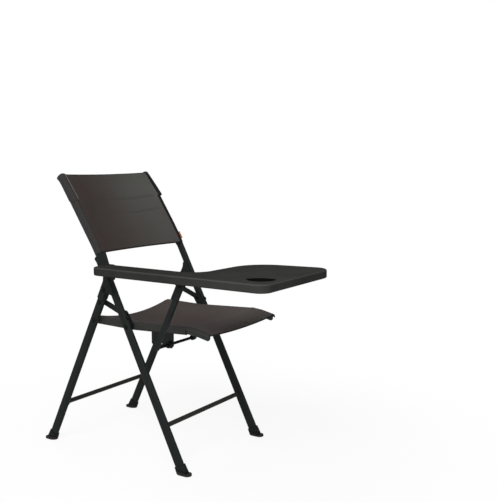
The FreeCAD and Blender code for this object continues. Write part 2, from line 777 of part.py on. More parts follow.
# Finish: build, check, move the origin under the middle of the box, and write the files
doc.recompute()
for obj in doc.Objects:
    bad = [word for word in obj.State if word in ("Invalid", "Error")]
    if bad:
        raise RuntimeError(f"{obj.Label}: {bad}")
for piece in pieces:
    if piece.Shape.isNull() or not piece.Shape.isValid():
        raise RuntimeError(f"{piece.Label}: bad shape")
box = FreeCAD.BoundBox()
for piece in pieces:
    box.add(piece.Shape.optimalBoundingBox(False))
shift = Vector(-box.Center.x, -box.Center.y, -box.ZMin)
os.makedirs("parts", exist_ok=True)
for piece in pieces:
    piece.Placement = Placement(shift, Rotation()) * piece.Placement
doc.recompute()
for piece in pieces:
    piece.Shape.exportStep(f"parts/{piece.Label}.step")
print("pieces", len(pieces), "box", box.XLength, box.YLength, box.ZLength)
print("shift", tuple(round(value, 3) for value in shift))
for word, point in {
    "leg_pivot": LEG_PIVOT,
    "link_pin": LINK_PIN,
    "seat_pivot": SEAT_PIVOT,
    "crank_pin": CRANK_PIN,
    "arm_pivot": ARM_PIVOT,
    "strut_pivot": STRUT_PIVOT,
    "rod": ROD,
}.items():
    print(word, tuple(round(value, 3) for value in point + shift))
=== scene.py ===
import math

import bmesh
import bpy
import numpy as np
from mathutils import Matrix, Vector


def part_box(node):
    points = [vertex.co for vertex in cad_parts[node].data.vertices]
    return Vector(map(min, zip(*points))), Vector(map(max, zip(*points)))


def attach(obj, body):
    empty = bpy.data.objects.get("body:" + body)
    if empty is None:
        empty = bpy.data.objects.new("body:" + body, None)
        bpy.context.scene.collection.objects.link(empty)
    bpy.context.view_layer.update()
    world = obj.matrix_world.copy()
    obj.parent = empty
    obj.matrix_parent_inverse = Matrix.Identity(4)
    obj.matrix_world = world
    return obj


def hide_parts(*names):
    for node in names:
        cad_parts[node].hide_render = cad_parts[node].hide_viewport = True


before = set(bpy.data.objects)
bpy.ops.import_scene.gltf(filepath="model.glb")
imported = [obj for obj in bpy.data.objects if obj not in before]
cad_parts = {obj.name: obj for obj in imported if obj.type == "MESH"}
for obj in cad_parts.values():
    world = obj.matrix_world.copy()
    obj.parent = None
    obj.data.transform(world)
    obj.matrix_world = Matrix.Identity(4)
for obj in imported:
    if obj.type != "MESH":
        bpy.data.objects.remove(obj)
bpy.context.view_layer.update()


# Painted frame. Each side is one bent flat-oval steel tube, front leg and back upright together, with a
# rear leg between welded hinge plates, and stretchers across. One coat of near-black satin powder paint is
# rubbed a little paler low down, where shoes and other chairs knock it. The two stretchers have browned.
PAINT_DEEP = (16, 20, 19)
PAINT_PALE = (21, 26, 24)
BROWNED_DEEP = (27, 26, 23)
BROWNED_PALE = (35, 33, 29)


class Signal:
    """A socket of a finish's node tree. Sums, differences and products of signals add Math nodes."""

    def __init__(self, tree, socket):
        self.tree = tree
        self.socket = socket

    def node(self, kind, settings=None, inputs=None, output=0):
        """Adds a node of a kind, with its settings first and then its sockets, and gives one output."""
        made = self.tree.nodes.new(kind)
        for name, value in (settings or {}).items():
            setattr(made, name, value)
        for key, value in (inputs or {}).items():
            if isinstance(value, Signal):
                self.tree.links.new(value.socket, made.inputs[key])
            else:
                made.inputs[key].default_value = value
        return Signal(self.tree, made.outputs[output] if len(made.outputs) else None)

    def math(self, operation, first, second=0.0):
        """A Math node on one or two values."""
        return self.node("ShaderNodeMath", {"operation": operation}, {0: first, 1: second})

    def __add__(self, other):
        return self.math("ADD", self, other)

    def __sub__(self, other):
        return self.math("SUBTRACT", self, other)

    def __rsub__(self, other):
        return self.math("SUBTRACT", other, self)

    def __mul__(self, other):
        return self.math("MULTIPLY", self, other)

    __radd__ = __add__
    __rmul__ = __mul__

    def size(self):
        """The absolute value."""
        return self.math("ABSOLUTE", self)

    def grain(self, scale, detail=2.0, rough=0.5):
        """Noise over these coordinates, scale in bumps a metre, from 0 to 1."""
        inputs = {"Vector": self, "Scale": scale, "Detail": detail, "Roughness": rough}
        return self.node("ShaderNodeTexNoise", None, inputs)

    def ramp(self, low, high):
        """This value eased from 0 at low to 1 at high."""
        inputs = {"Value": self, "From Min": low, "From Max": high}
        return self.node("ShaderNodeMapRange", {"interpolation_type": "SMOOTHSTEP"}, inputs)

    def part(self, axis):
        """One coordinate of a vector: X, Y or Z."""
        return self.node("ShaderNodeSeparateXYZ", None, {0: self}, axis)

    def blend(self, first, second):
        """A colour that goes from first to second as this value goes from 0 to 1."""
        return self.node("ShaderNodeMix", {"data_type": "RGBA"}, {0: self, 6: first, 7: second}, 2)

    def relief(self, strength, depth):
        """This height as a bump on the surface, depth in metres."""
        inputs = {"Height": self, "Strength": strength, "Distance": depth}
        return self.node("ShaderNodeBump", None, inputs)


def tint(red, green, blue):
    """An sRGB colour of 0 to 255 as the linear values that a shader takes."""
    share = np.array([red, green, blue]) / 255
    return (*np.where(share <= 0.04045, share / 12.92, ((share + 0.055) / 1.055) ** 2.4), 1.0)


def blank_finish(name):
    """A material with no nodes yet, and a signal to add them from."""
    material = bpy.data.materials.new(name)
    material.use_nodes = True
    material.node_tree.nodes.clear()
    return material, Signal(material.node_tree, None)


def finish(name, recipe, **constants):
    """A material whose shader takes what recipe(place) gives, place being Object coordinates in metres."""
    material, start = blank_finish(name)
    place = start.node("ShaderNodeTexCoord", None, None, "Object")
    sockets = {key.replace("_", " "): value for key, value in constants.items()}
    shader = start.node("ShaderNodeBsdfPrincipled", None, {**sockets, **recipe(place)})
    start.node("ShaderNodeOutputMaterial", None, {"Surface": shader})
    return material


def coat(material, *names):
    """Gives CAD nodes a finish."""
    for name in names:
        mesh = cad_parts[name].data
        mesh.materials.clear()
        mesh.materials.append(material)


def both(*words):
    """The right and left node of each word."""
    return [f"{side}_{word}" for word in words for side in ("right", "left")]


def powder_paint(place, deep=PAINT_DEEP, pale=PAINT_PALE):
    """Dark paint with a faint orange peel, cloudy gloss and pale rubs that thin out above the ankles."""
    cloud = place.grain(14.0, 4.0)
    rub = place.grain(120.0, 5.0, 0.65).ramp(0.60, 0.74) * (1 - place.part("Z").ramp(0.04, 0.34))
    body = cloud.ramp(0.3, 0.7).blend(tint(*deep), tint(*pale))
    peel = place.grain(700.0, 1.0) + 0.3 * rub
    return {
        "Base Color": (rub * 0.5).blend(body, tint(50, 52, 51)),
        "Roughness": 0.52 + 0.16 * cloud + 0.12 * rub,
        "Normal": peel.relief(0.16, 0.0003),
    }


def browned_paint(place):
    """The same paint where it has browned."""
    return powder_paint(place, BROWNED_DEEP, BROWNED_PALE)


paint = finish("satin_powder_paint", powder_paint, Specular_IOR_Level=0.12)
coat(paint, *both("main_tube", "rear_leg", "top_plug", "inner_hinge_plate", "outer_hinge_plate"))
coat(paint, "arm_bracket")
bar_paint = finish("browned_bar_paint", browned_paint, Specular_IOR_Level=0.12)
coat(bar_paint, "front_stretcher", "rear_stretcher")


# Feet. Dark rubber boots pushed over the four tube ends, with a wide flange that stands on the floor.
# The moulding is matt. Dust greys the flange, and dirt keeps a black line above it.
FLANGE_TOP = (0.0085, 0.0100)
LINE_TOP = (0.0140, 0.0175)


def boot_rubber(place):
    """Dark rubber with a fine stipple, a dusty flange and a black line above the flange."""
    height = place.part("Z")
    flange = 1 - height.ramp(*FLANGE_TOP)
    line = (1 - flange) * (1 - height.ramp(*LINE_TOP))
    dust = place.grain(90.0, 4.0).ramp(0.3, 0.8) * flange
    body = line.blend(tint(18, 21, 21), tint(7, 7, 7))
    return {
        "Base Color": (0.45 * flange + 0.4 * dust).blend(body, tint(46, 43, 41)),
        "Roughness": 0.72 + 0.18 * dust,
        "Normal": place.grain(1500.0, 2.0).relief(0.25, 0.0002),
    }


rubber = finish("boot_rubber", boot_rubber, Specular_IOR_Level=0.12)
coat(rubber, *both("front_foot", "rear_foot"))


# Links, cranks and pivots. Flat painted bars join the rear legs to cranks on the seat rails, and black steel
# pins run through the plates, each closed by a domed rivet head on a thin washer. The release rod and its
# knob, under the seat, are black too.
def black_steel(place):
    """Oiled black steel with a fine grain, cloudy gloss and small pale rubs."""
    rub = place.grain(260.0, 4.0, 0.7).ramp(0.62, 0.75)
    return {
        "Base Color": (rub * 0.2).blend(tint(5, 6, 6), tint(40, 40, 39)),
        "Roughness": 0.46 + 0.22 * place.grain(60.0, 3.0),
        "Normal": place.grain(1100.0, 2.0).relief(0.12, 0.0002),
    }


steel = finish("oiled_black_steel", black_steel, Specular_IOR_Level=0.1)
coat(steel, "leg_pivot_pins", "seat_pivot_pins", "link_pins", "arm_pivot_pin", "strut_pin")
coat(steel, "release_rod", "release_knob", "rod_bush")
coat(paint, *both("brace_link", "seat_crank", "crank_boss"))
coat(paint, "rod_hanger", "strut_clevis", "tablet_strut")


def mesh_piece(name, points, faces, material, body, closed=True):
    """A smooth mesh of points and faces, with its finish, body and slot. A closed one has its seams and
    poles welded."""
    mesh = bpy.data.meshes.new(name)
    mesh.from_pydata(points.reshape(-1, 3), [], faces.tolist())
    if closed:
        work = bmesh.new()
        work.from_mesh(mesh)
        bmesh.ops.remove_doubles(work, verts=work.verts, dist=0.000002)
        bmesh.ops.recalc_face_normals(work, faces=work.faces)
        work.to_mesh(mesh)
        work.free()
    mesh.shade_smooth()
    mesh.materials.append(material)
    piece = bpy.data.objects.new(name, mesh)
    bpy.context.scene.collection.objects.link(piece)
    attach(piece, body)
    return piece


def grid_faces(rows, columns, ring=False, kept=None):
    """Four-sided faces over a grid of points, joined round the columns where it is a ring. Where kept is
    given, it says for each place of the grid whether its face is there."""
    index = np.arange(rows * columns).reshape(rows, columns)
    if ring:
        index = np.concatenate([index, index[:, :1]], axis=1)
    faces = np.stack([index[:-1, :-1], index[:-1, 1:], index[1:, 1:], index[1:, :-1]], axis=-1)
    return faces.reshape(-1, 4) if kept is None else faces[kept]


def unit(vectors):
    """Vectors scaled to length 1."""
    return vectors / np.linalg.norm(vectors, axis=-1, keepdims=True)


def turned_points(profile, middle, axis, steps):
    """A profile of (radius, height) rows carried round an axis through middle."""
    axis = unit(np.array(axis, float))
    side = unit(np.cross(axis, OFF_AXIS))
    angle = np.linspace(0, 2 * math.pi, steps, endpoint=False)[None, :, None]
    ring = np.cos(angle) * side + np.sin(angle) * np.cross(axis, side)
    radius, height = np.array(profile).T[:, :, None, None]
    return np.array(middle) + radius * ring + height * axis


def rivet_profile(radius):
    """Washer with a rounded edge, then a low dome: an ellipse two fifths as high as its radius."""
    swing = np.linspace(0, math.pi / 2, 9)
    cap = np.stack([radius * np.cos(swing), 0.0014 + 0.4 * radius * np.sin(swing)], axis=1)
    washer = [(0, 0), (1.22, 0), (1.28, 0.0004), (1.22, 0.0011), (1.02, 0.0012)]
    washer = np.array(washer) * [radius, 1]
    return np.concatenate([washer, cap])


# Places are given from the chair's mid plane, its front-foot line and the floor, which meet at MIDDLE.
MIDDLE = np.array([0.039, -0.12247, 0.0])


def on_pin(out, node):
    """A place in line with a node's pins, at a distance out from the mid plane."""
    low, high = np.array(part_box(node))
    return (out, *((low + high) / 2 - MIDDLE)[1:])


OUTWARD = (1, 0, 0)
INWARD = (-1, 0, 0)
AHEAD = (0, -0.894, 0.448)
RIVET_STEPS = 28
# A rivet's rings start square to this direction, in which no rivet points.
OFF_AXIS = (0.0, 0.6, 0.8)
rivets = [
    ("leg_pivot_rivet", on_pin(0.2165, "leg_pivot_pins"), OUTWARD, 0.0075, "front_frame"),
    ("seat_pivot_rivet", on_pin(0.2130, "seat_pivot_pins"), OUTWARD, 0.0068, "front_frame"),
    ("tube_bolt", (0.2050, 0.216, 0.4625), AHEAD, 0.0052, "front_frame"),
    ("link_rivet", on_pin(0.2130, "link_pins"), OUTWARD, 0.0060, "rear_frame"),
    ("rear_leg_rivet", (0.2130, 0.355, 0.4405), OUTWARD, 0.0064, "rear_frame"),
    ("crank_rivet", (0.1860, 0.239, 0.468), INWARD, 0.0056, "seat"),
]
for word, spot, axis, radius, body in rivets:
    profile = rivet_profile(radius)
    faces = grid_faces(len(profile), RIVET_STEPS, True)
    for side, mirror in (("right", (-1, 1, 1)), ("left", (1, 1, 1))):
        middle = MIDDLE + np.multiply(spot, mirror)
        points = turned_points(profile, middle, np.multiply(axis, mirror), RIVET_STEPS)
        mesh_piece(f"{side}_{word}", points, faces, steel, body)


# Seat rails and trim. The painted flat-oval rails run through the hems of the seat cloth. Dark moulded
# corner sleeves close their front ends, and push-in plugs close the rear ones.
def moulded_trim(place):
    """Dark moulding with a fine spark texture and a cloudy sheen."""
    cloud = place.grain(30.0, 3.0)
    return {
        "Base Color": cloud.ramp(0.3, 0.7).blend(tint(36, 40, 38), tint(43, 47, 45)),
        "Roughness": 0.55 + 0.18 * cloud,
        "Normal": place.grain(1700.0, 2.0).relief(0.25, 0.00018),
    }


trim = finish("moulded_dark_trim", moulded_trim, Specular_IOR_Level=0.12)
coat(trim, *both("seat_corner", "rail_plug"))
coat(paint, *both("seat_rail"))
coat(paint, "seat_front_bar", "seat_rear_bow")


# Seat cloth. One width of brown-grey polyester canvas with a grey hem sleeve down each side, through which
# a rail runs; that grey is partly painted shade. It sags between the rails, curls down over the front bar
# and the moulded corners, and ends in a dark piped hem, whose dark cord also stands for painted shade under
# the curl. Painted light pales the canvas towards the front edge and the left rail.
RAIL_X = 0.1785
RAIL_FLAT = 0.0045
HEM_RADIUS = 0.0069
HEM_LEAVE = math.radians(20)
HEM_HANG = 1.25
CORNER_RADIUS = 0.0083
SEAT_REAR = 0.366
RAIL_SHOWN = 0.002
CORNER_REAR = -0.003
CURL_START = -0.070
CURL_REACH = 0.0165
CURL_DROP = 0.003
RIGHT_NIP = 0.45
LEFT_NIP = 0.25
FRONT_BAR = -0.063
SAG_AHEAD = 0.0038
SAG_BEHIND = 0.018
SAG_EASE = 0.10
CLOTH_THICK = 0.0012
THREAD_PITCH = 0.0011
FRONT_PIPING = 0.0021
REAR_PIPING = 0.0016
STITCH_SPACING = 0.0050
STITCH_LENGTH = 0.0036
STITCH_RADIUS = 0.00045
RAIL_LINE = np.array([
    (-0.077, 0.432), (-0.040, 0.440), (0.0, 0.444), (0.110, 0.439), (0.217, 0.434), (0.357, 0.437),
])
# The rings of pipings and stitches start square to this direction, in which no hem runs.
OFF_HEM = (0.0, 0.3, 0.95)


def even_steps(points, count):
    """A polyline resampled to count points at equal steps along it."""
    length = np.concatenate([[0], np.cumsum(np.linalg.norm(np.diff(points, axis=0), axis=1))])
    stops = np.linspace(0, length[-1], count)
    return np.stack([np.interp(stops, length, column) for column in points.T], axis=1)


def hem_loop(flat, radius, leave, count):
    """Sleeve round a flat-oval bar, as (outward, up) from its middle: it starts where the cloth leaves,
    at an angle inwards of the top, goes down the inner side, under, up the outside and over to the start."""
    first = np.linspace(math.pi / 2 - leave, 0, 8)
    low = np.linspace(0, -math.pi, 24)
    top = np.linspace(math.pi, math.pi / 2 - leave, 24)
    swing = np.concatenate([first, low, top])
    shift = np.repeat([flat, -flat, flat], [len(first), len(low), len(top)])
    return even_steps(np.stack([-radius * np.cos(swing), radius * np.sin(swing) + shift], axis=1), count)


def canvas(place, body, side, hem_start, hem_tone_and_shade):
    """Plain weave on the cloth's own flat coordinates, in metres: over and under threads take turns on
    a chequer, each a rounded ridge. Past hem_start from the chair's middle the hem's colour shows, which
    carries the painted shade that the seat and the back give their sleeves."""
    flat = place.node("ShaderNodeUVMap", {"uv_map": "cloth"})
    across = place.math("SINE", flat.part("X") * (math.pi / THREAD_PITCH))
    along = place.math("SINE", flat.part("Y") * (math.pi / THREAD_PITCH))
    over = place.math("GREATER_THAN", across * along, 0.0)
    ridge = over * across.size() + (1 - over) * along.size()
    slub = flat.grain(420.0, 3.0, 0.6)
    in_hem = (side - MIDDLE[0]).size().ramp(hem_start, hem_start + 0.002)
    colour = in_hem.blend(body, hem_tone_and_shade)
    return {
        "Base Color": ((1 - ridge) * 0.28 + 0.22 * slub).blend(colour, tint(22, 20, 19)),
        "Roughness": 0.82 + 0.14 * slub,
        "Normal": (ridge + 0.6 * slub).relief(0.5, 0.0004),
    }


def seat_canvas(place):
    """Brown-grey with soft clouds, and painted light that makes it paler and greyer towards the front edge
    and the left rail.
    """
    # Painted light: the canvas pales towards the front edge (ahead) and towards the left rail (the ramp
    # along X).
    ahead = (place.part("Y") * -1.0).ramp(0.02, 0.20)
    painted_light_drift = 0.75 * ahead + 0.55 * place.part("X").ramp(0.02, 0.22) + 0.25 * (place.grain(9.0, 3.0) - 0.5)
    body = painted_light_drift.blend(tint(62, 52, 50), tint(84, 78, 75))
    # The hem sleeves' grey is partly painted shade on the side band.
    return canvas(place, body, place.part("X"), 0.1765, tint(54, 54, 53))


def sag(back):
    """Depth of the cloth's middle below its hems: small up to the front bar, then easing to 22 mm."""
    return SAG_AHEAD + SAG_BEHIND * (1 - np.exp(-np.maximum(back - FRONT_BAR, 0) / SAG_EASE))


def rail_level(back):
    """Height of a rail's middle: straight between the stations of its line."""
    return np.interp(back, *RAIL_LINE.T)


hem = hem_loop(RAIL_FLAT, HEM_RADIUS, HEM_LEAVE, 40)
round_up = hem[:, 1] - np.clip(hem[:, 1], -RAIL_FLAT, RAIL_FLAT)
hang = np.where(hem[:, 1] < 0, HEM_HANG, 1.0)
outer_edge = int(np.argmax((hem[:, 0] > 0) & (hem[:, 1] > 0)))
back = np.concatenate([np.linspace(SEAT_REAR, RAIL_SHOWN, 62), np.linspace(CORNER_REAR, CURL_START, 14)])
curl = np.concatenate([np.zeros(len(back)), np.linspace(0, math.pi / 2, 9)[1:]])
back = np.concatenate([back, CURL_START - CURL_REACH * np.sin(curl[len(back):])])
fall = (1 - np.cos(curl))[:, None]
growth = np.interp(back, [CORNER_REAR, RAIL_SHOWN], [CORNER_RADIUS / HEM_RADIUS, 1])[:, None]


def rail_hem(nip):
    """Outward and upward places of one sleeve's loops: they hang a little below the rail, widen over the
    moulded corner, and are nipped in over its nose."""
    close = 1 - nip * fall
    rise = hang * (growth * round_up + (hem[:, 1] - round_up))
    return RAIL_X + close * growth * hem[:, 0], rail_level(back)[:, None] + close * rise


right_x, right_z = rail_hem(RIGHT_NIP)
left_x, left_z = rail_hem(LEFT_NIP)
span = np.linspace(-1, 1, 61)[1:-1]
middle_x = np.where(span < 0, span * right_x[:, -1:], span * left_x[:, -1:])
middle_z = (right_z[:, -1:] * (1 - span) + left_z[:, -1:] * (1 + span)) / 2
middle_z = middle_z - (sag(back)[:, None] + CURL_DROP * fall) * (1 - span ** 2)
seat_x = np.concatenate([-right_x, middle_x, left_x[:, ::-1]], axis=1)
seat_z = np.concatenate([right_z, middle_z, left_z[:, ::-1]], axis=1)
seat_y = np.broadcast_to(back[:, None], seat_x.shape)
seat_points = np.stack([seat_x, seat_y, seat_z], axis=-1) + MIDDLE
columns = seat_x.shape[1]
lap = (np.arange(columns - 1) >= outer_edge) & (np.arange(columns - 1) < columns - 1 - outer_edge)
kept = lap[None, :] | (back[1:] > CORNER_REAR)[:, None]


def cloth_piece(name, points, kept, material, body):
    """A sheet from a grid of points, with a cloth's thickness. Its flat coordinates are distances in metres:
    across it from the first column, on the middle row, and along it from the first row."""
    rows, columns = points.shape[:2]
    used, faces = np.unique(grid_faces(rows, columns, False, kept), return_inverse=True)
    piece = mesh_piece(name, points.reshape(-1, 3)[used], faces.reshape(-1, 4), material, body, False)
    steps = np.linalg.norm(np.diff(points[rows // 2], axis=0), axis=-1)
    across = np.broadcast_to(np.concatenate([[0], np.cumsum(steps)]), (rows, columns))
    steps = np.linalg.norm(np.diff(points, axis=0), axis=-1)
    along = np.concatenate([np.zeros((1, columns)), np.cumsum(steps, axis=0)], axis=0)
    flat = np.stack([across, along], axis=-1).reshape(-1, 2)[used]
    corner = np.zeros(len(piece.data.loops), int)
    piece.data.loops.foreach_get("vertex_index", corner)
    layer = piece.data.uv_layers.new(name="cloth")
    layer.data.foreach_set("uv", flat[corner].ravel())
    wall = piece.modifiers.new("cloth_thickness", "SOLIDIFY")
    wall.thickness = CLOTH_THICK
    wall.offset = 0.0
    return piece


def piping(name, line, radius, material, body, steps=12):
    """A round cord sewn along a line: rings square to the line's direction, closed by flat ends."""
    along = np.gradient(line, axis=0)
    line = np.concatenate([line[:1], line, line[-1:]])
    along = unit(np.concatenate([along[:1], along, along[-1:]]))
    side = unit(np.cross(along, OFF_HEM))
    angle = np.linspace(0, 2 * math.pi, steps, endpoint=False)[None, :, None]
    ring = np.cos(angle) * side[:, None] + np.sin(angle) * np.cross(along, side)[:, None]
    reach = np.full(len(line), radius)
    reach[[0, -1]] = 0
    points = line[:, None] + reach[:, None, None] * ring
    return mesh_piece(name, points, grid_faces(len(line), steps, True), material, body)


def stitches(name, line, material, body):
    """A row of thread stitches along a line: each a short cord that swells from its ends to its middle."""
    travel = np.concatenate([[0], np.cumsum(np.linalg.norm(np.diff(line, axis=0), axis=1))])
    stops = np.arange(0.5 * STITCH_SPACING, travel[-1], STITCH_SPACING)
    spot, ahead = [np.stack([np.interp(stops + step, travel, column) for column in line.T], axis=1)
                   for step in (-0.0002, 0.0002)]
    along = unit(ahead - spot)[:, None, None]
    side = unit(np.cross(along, OFF_HEM))
    angle = np.linspace(0, 2 * math.pi, 6, endpoint=False)[:, None]
    ring = np.cos(angle) * side + np.sin(angle) * np.cross(along, side)
    shift = np.array([-0.5, -0.4, -0.15, 0.15, 0.4, 0.5])[:, None, None] * STITCH_LENGTH
    swell = np.array([0, 0.75, 1, 1, 0.75, 0])[:, None, None] * STITCH_RADIUS
    points = spot[:, None, None] + shift * along + swell * ring
    one = grid_faces(6, 6, True)
    faces = one + 36 * np.arange(len(stops))[:, None, None]
    return mesh_piece(name, points, faces.reshape(-1, 4), material, body)


def hem_tape(place):
    """Dark brown binding tape with a close rib across it."""
    rib = place.math("SINE", (place.part("X") + place.part("Z")) * 5200.0)
    return {
        "Base Color": place.grain(300.0, 3.0).blend(tint(22, 20, 19), tint(31, 28, 26)),
        "Roughness": 0.80 + 0.12 * place.grain(500.0, 2.0),
        "Normal": rib.relief(0.3, 0.0002),
    }


def sewing_thread(place):
    """Twisted polyester thread, a shade paler than the cloth."""
    twist = place.math("SINE", (place.part("X") + place.part("Y") + place.part("Z")) * 9000.0)
    return {
        "Base Color": place.grain(800.0, 2.0).blend(tint(58, 54, 52), tint(76, 72, 69)),
        "Roughness": 0.55 + 0.15 * place.grain(900.0, 1.0),
        "Normal": twist.relief(0.3, 0.0001),
    }


binding = finish("dark_binding_tape", hem_tape, Specular_IOR_Level=0.15)
thread = finish("grey_sewing_thread", sewing_thread, Specular_IOR_Level=0.25)
seat_finish = finish("brown_grey_canvas", seat_canvas, Specular_IOR_Level=0.12)
seat_cloth = cloth_piece("seat_cloth", seat_points, kept, seat_finish, "seat")
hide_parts("seat_sling", "seat_front_roll")
UNDER_FRONT = np.array([0, -0.0004, -0.0012])
front_line = seat_points[-1, outer_edge:columns - outer_edge] + UNDER_FRONT
# The dark front piping also stands for painted shade under the curl of the front edge.
seat_trim = [piping("seat_front_hem", front_line, FRONT_PIPING, binding, "seat")]
rear_line = seat_points[0, len(hem):columns - len(hem)]
seat_trim.append(piping("seat_rear_hem", rear_line, REAR_PIPING, binding, "seat"))
ON_TOP = np.array([0, 0, 0.0006])
seams = {
    "seat_right_stitches": seat_points[:, len(hem) + 1],
    "seat_left_stitches": seat_points[:, columns - len(hem) - 2],
    "seat_front_stitches": seat_points[-6, len(hem):columns - len(hem)],
    "seat_rear_stitches": seat_points[2, len(hem):columns - len(hem)],
}
seat_trim += [stitches(name, line + ON_TOP, thread, "seat") for name, line in seams.items()]


# Back cloth. The same canvas, greyer, sewn into a sleeve down each upright and bowed to the rear between
# them. Painted light greys and pales it further towards the left, and painted shade makes the left sleeve
# nearly black. A thicker pocket closes each top, and two faint creases come from the fold it was packed
# with.
FRAME_HALF = 0.205
TUBE_HALF = 0.008
FOOT_HALF_WIDTH = 0.0165
TAPER = 0.0055
HINGE = np.array([0.290, 0.579])
UPRIGHT_TOP = np.array([0.491, 0.902])
LEG_UP = unit(HINGE)
BEND_ABOVE_HINGE = 0.095
BEND = HINGE + BEND_ABOVE_HINGE * LEG_UP
BACK_UP = unit(UPRIGHT_TOP - BEND)
BEND_LENGTH = 0.090
LOW_LENGTH = np.linalg.norm(BEND)
TUBE_LENGTH = LOW_LENGTH + np.linalg.norm(UPRIGHT_TOP - BEND)
BACK_LOW = LOW_LENGTH - 0.0095
BACK_TOP = TUBE_LENGTH - 0.003
POCKET_LOW = TUBE_LENGTH - 0.091
POCKET_DOME = 0.0085
POCKET_DIP = 0.0065
DIP_SPREAD = 0.03
POCKET_FLARE = 0.005
STEP_HALF = 0.0006
SLEEVE_GAP = 0.0010
POCKET_GAP = 0.0036
SLEEVE_FLAT = 0.004
SLEEVE_LEAVE = math.radians(15)
SLEEVE_ROWS = 56
SLEEVE_SLACK = ((0, 0.0), (0.08, 0.003), (POCKET_LOW - BACK_LOW, 0.005), (BACK_TOP - BACK_LOW, 0.0))
LEFT_LOOSE = 0.006
BOW = 0.0205
BOW_LESS_LOW = 0.012
BOW_LESS_HIGH = 0.0145
CREASES = ((0.103, 0.0050), (0.157, 0.0042))
CREASE_HALF = 0.0045
CREASE_END = -0.06
CREASE_FADE = 0.16
CREASE_MARGIN = 0.12
STEP_FADE = 0.03
EDGE_LIFT = 0.0005
EDGE_TILT = 0.0015
EDGE_ARCH = 0.006
LOWER_PIPING = 0.0024
TOP_PIPING = 0.0014
WELT_RADIUS = 0.0010


def tube_line(distance):
    """(y, z) of a main tube's middle, its forward direction and half its width, at a distance above the
    foot. The tube is straight, turns evenly over the bend's length, and tapers from 33 to 22 mm."""
    distance = np.asarray(distance, float)
    ease = np.clip((distance - LOW_LENGTH) / BEND_LENGTH + 0.5, 0, 1)
    bent = np.where(ease < 1, BEND_LENGTH * ease ** 2 / 2, distance - LOW_LENGTH)
    point = (distance - bent)[..., None] * LEG_UP + bent[..., None] * BACK_UP
    up = unit((1 - ease)[..., None] * LEG_UP + ease[..., None] * BACK_UP)
    forward = np.stack([-up[..., 1], up[..., 0]], axis=-1)
    return point, forward, FOOT_HALF_WIDTH - TAPER * distance / TUBE_LENGTH


def crease(distance, x, below_top, depth):
    """A shallow valley across the cloth at a distance below the top, a bell curve in section, which fades
    out towards the right."""
    valley = np.exp(-((TUBE_LENGTH - below_top - distance) / CREASE_HALF) ** 2)
    return depth * valley * np.clip((x - CREASE_END) / CREASE_FADE, 0, 1)


def back_canvas(place):
    """Brown canvas by the right upright with soft clouds, and painted light that greys and pales it towards
    the left one, most of all high up. The left sleeve is painted nearly black as shade, and this painted
    shade starts a little further in."""
    side = place.part("X")
    # Painted light: the canvas greys and pales towards the left upright, most of all high up.
    painted_light_drift = side.ramp(-0.14, 0.22) * (0.7 + 0.3 * place.part("Z").ramp(0.68, 0.88))
    body = (painted_light_drift + 0.25 * (place.grain(9.0, 3.0) - 0.5)).blend(tint(64, 55, 52), tint(89, 89, 86))
    # Painted shade: this mask turns the left sleeve nearly black, and moves where it starts a little
    # inwards.
    left = side.ramp(0.10, 0.20)
    return canvas(place, body, side + 0.0070 * left, 0.2010, left.blend(tint(54, 53, 52), tint(24, 24, 23)))


distance = np.linspace(BACK_LOW, POCKET_LOW - STEP_HALF, SLEEVE_ROWS)
distance = np.concatenate([distance, np.linspace(POCKET_LOW + STEP_HALF, BACK_TOP, 26)])
panel_rows = len(distance)
dome = np.linspace(0, math.pi / 2, 8)[1:]
distance = np.concatenate([distance, BACK_TOP + POCKET_DOME * np.sin(dome)])
shrink = np.concatenate([np.ones(panel_rows), np.cos(dome)])[:, None]
lift = np.clip((distance - BACK_LOW) / (BACK_TOP - BACK_LOW), 0, 1)[:, None]
loop = hem_loop(SLEEVE_FLAT, TUBE_HALF, SLEEVE_LEAVE, 48)
straight = np.clip(loop[:, 1] / SLEEVE_FLAT, -1, 1)
rounding = loop[:, 1] - SLEEVE_FLAT * straight
in_pocket = np.clip((distance - POCKET_LOW) / (BACK_TOP - POCKET_LOW), 0, 1)[:, None]
pocket = (distance > POCKET_LOW)[:, None]
slack = np.interp(distance - BACK_LOW, *np.transpose(SLEEVE_SLACK))[:, None]
flare = POCKET_FLARE * in_pocket ** 8


def low_edge(x):
    """How much higher than its rows the cloth's lower edge lies: a parabola that is highest in the middle,
    tilted up to the right. It dies out up the cloth."""
    share = x / FRAME_HALF
    return (EDGE_LIFT - EDGE_TILT * share + EDGE_ARCH * (1 - share ** 2)) * (1 - lift) ** 4


def pocket_dip(front):
    """How much lower the rows lie round the pocket's lower end, which drops from the tube's rear to its
    front. Up the cloth it is a bell curve."""
    return POCKET_DIP * (1 + front) * np.exp(-((distance[:, None] - POCKET_LOW) / DIP_SPREAD) ** 2)


def sleeve(side, gap, loose):
    """Outward distances, (y, z) and forward reach of one sleeve's loops. A sleeve keeps a gap to its tube,
    stands ahead of it by its slack, and flares to the rear at the top."""
    level = distance[:, None] + low_edge(side * FRAME_HALF) - pocket_dip(straight)
    middle, forward, half_width = tube_line(level)
    growth = 1 + gap / TUBE_HALF
    round_growth = np.where(straight < 0, 1 + SLEEVE_GAP / TUBE_HALF, growth)
    oval = straight * (half_width - TUBE_HALF) + round_growth * rounding
    ahead = shrink * (oval + loose * (1 + straight) / 2 - flare * (1 - straight) / 2)
    return FRAME_HALF + shrink * growth * loop[:, 0], middle + ahead[..., None] * forward, ahead[:, -1:]


